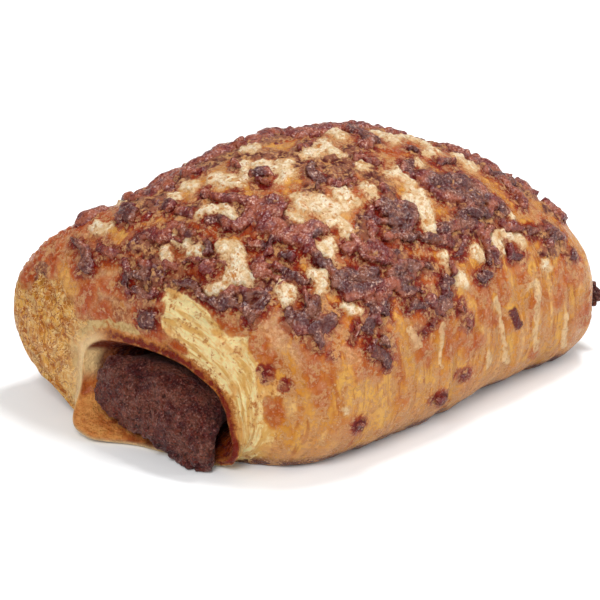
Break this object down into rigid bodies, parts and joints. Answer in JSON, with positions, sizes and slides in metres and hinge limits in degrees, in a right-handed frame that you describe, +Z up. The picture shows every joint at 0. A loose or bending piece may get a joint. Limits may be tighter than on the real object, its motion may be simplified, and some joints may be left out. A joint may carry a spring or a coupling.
{
  "type": "pain au chocolat",
  "caption": "Baked roll of layered dough with a dark crumbly crust, wrapped round a chocolate filling that shows at both cut ends.",
  "frame": {"origin": "middle of the bounding box's underside, on the surface that the pastry rests on", "axes": "+X along the roll from the near end, where the filling sags out, to the far end; +Z up; -Y out of the long front side"},
  "size_m": [0.111, 0.0872, 0.0521],
  "materials": {
    "baked_dough": "baked golden dough with an egg-wash sheen, dark crumble and pale patches",
    "chocolate": "matte, crumbly baked chocolate"
  },
  "bodies": {
    "root": {"pastry": "baked_dough", "filling": "chocolate"}
  },
  "joints": []
}
